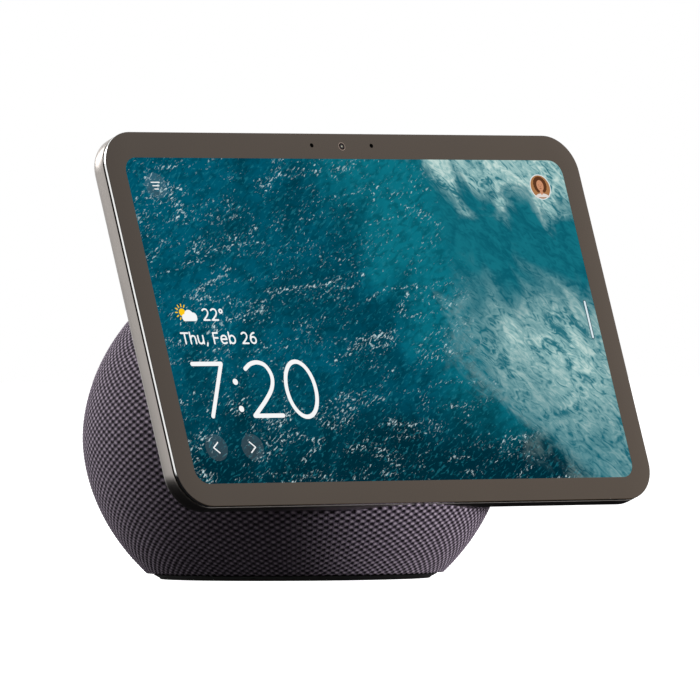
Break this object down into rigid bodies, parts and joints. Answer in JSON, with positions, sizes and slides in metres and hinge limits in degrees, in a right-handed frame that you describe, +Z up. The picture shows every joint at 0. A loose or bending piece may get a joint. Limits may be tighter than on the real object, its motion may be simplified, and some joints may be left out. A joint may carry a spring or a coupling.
{
  "type": "smart display",
  "caption": "Thin touch screen fixed at a backward tilt on the front of a knit-covered speaker ball with a rubber foot.",
  "frame": {"origin": "middle of the foot's underside, on the ball's vertical axis", "axes": "+X to the right across the screen as seen by the user, +Y towards the back, +Z up; the screen faces -Y, tilted back 19.5 degrees"},
  "size_m": [0.2056, 0.1381, 0.1484],
  "materials": {
    "glass_black": "polished",
    "mask": "matt print",
    "screen": "lit panel",
    "acrylic": "clear, polished",
    "white_film": "matt",
    "aluminium": "satin",
    "steel": "zinc plated",
    "housing": "satin graphite",
    "black_plastic": "fine texture",
    "knit": "three-dimensional knit",
    "rubber": "matt",
    "board": "solder resist",
    "ferrite": "painted",
    "paper": "pressed paper",
    "copper": "enamelled wire",
    "film": "polyimide"
  },
  "bodies": {
    "base": {"cover_glass": "glass_black", "bezel_mask": "mask", "lcd_panel": "screen", "light_guide": "acrylic", "reflector_sheet": "white_film", "mid_frame": "aluminium", "rear_housing": "housing", "camera_lens": "black_plastic", "camera_module": "black_plastic", "left_microphone": "board", "right_microphone": "board", "button_board": "board", "ribbon_cable": "film", "mounting_plate": "steel", "main_board": "board", "shield_can": "steel", "heat_spreader": "aluminium", "knit_cover": "knit", "front_chassis": "black_plastic", "rear_chassis": "black_plastic", "wifi_antenna": "board", "woofer_basket": "steel", "woofer_magnet": "ferrite", "woofer_surround": "rubber", "power_board": "board", "ballast_weight": "steel", "base_plate": "black_plastic", "rubber_foot": "rubber", "dc_inlet": "black_plastic", "inlet_bezel": "black_plastic", "left_driver_frame": "steel", "left_driver_magnet": "ferrite", "left_driver_surround": "rubber", "right_driver_frame": "steel", "right_driver_magnet": "ferrite", "right_driver_surround": "rubber", "hub_screw_1": "steel", "hub_screw_2": "steel", "hub_screw_3": "steel", "hub_screw_4": "steel", "chassis_screw_1": "steel", "chassis_screw_2": "steel", "chassis_screw_3": "steel", "chassis_screw_4": "steel", "base_screw_1": "steel", "base_screw_2": "steel", "base_screw_3": "steel", "base_screw_4": "steel"},
    "mic_camera_button": {"mic_camera_button": "housing"},
    "volume_up_button": {"volume_up_button": "housing"},
    "volume_down_button": {"volume_down_button": "housing"},
    "woofer_cone": {"woofer_cone": "paper", "woofer_dust_cap": "paper", "woofer_voice_coil": "copper"},
    "left_driver_cone": {"left_driver_cone": "paper"},
    "right_driver_cone": {"right_driver_cone": "paper"}
  },
  "joints": [
    {"name": "mic_camera_button_press", "type": "slide", "parent": "base", "child": "mic_camera_button", "axis": [-1, 0, 0], "range_m": [0, 0.0005], "stiffness_N_per_m": 1500},
    {"name": "volume_up_button_press", "type": "slide", "parent": "base", "child": "volume_up_button", "axis": [-1, 0, 0], "range_m": [0, 0.0005], "stiffness_N_per_m": 1500},
    {"name": "volume_down_button_press", "type": "slide", "parent": "base", "child": "volume_down_button", "axis": [-1, 0, 0], "range_m": [0, 0.0005], "stiffness_N_per_m": 1500},
    {"name": "woofer_stroke", "type": "slide", "parent": "base", "child": "woofer_cone", "axis": [0, 1, 0], "range_m": [-0.002, 0.002], "stiffness_N_per_m": 1200},
    {"name": "left_driver_stroke", "type": "slide", "parent": "base", "child": "left_driver_cone", "axis": [-1, 0, 0], "range_m": [-0.0006, 0.0006], "stiffness_N_per_m": 1500},
    {"name": "right_driver_stroke", "type": "slide", "parent": "base", "child": "right_driver_cone", "axis": [1, 0, 0], "range_m": [-0.0006, 0.0006], "stiffness_N_per_m": 1500}
  ]
}
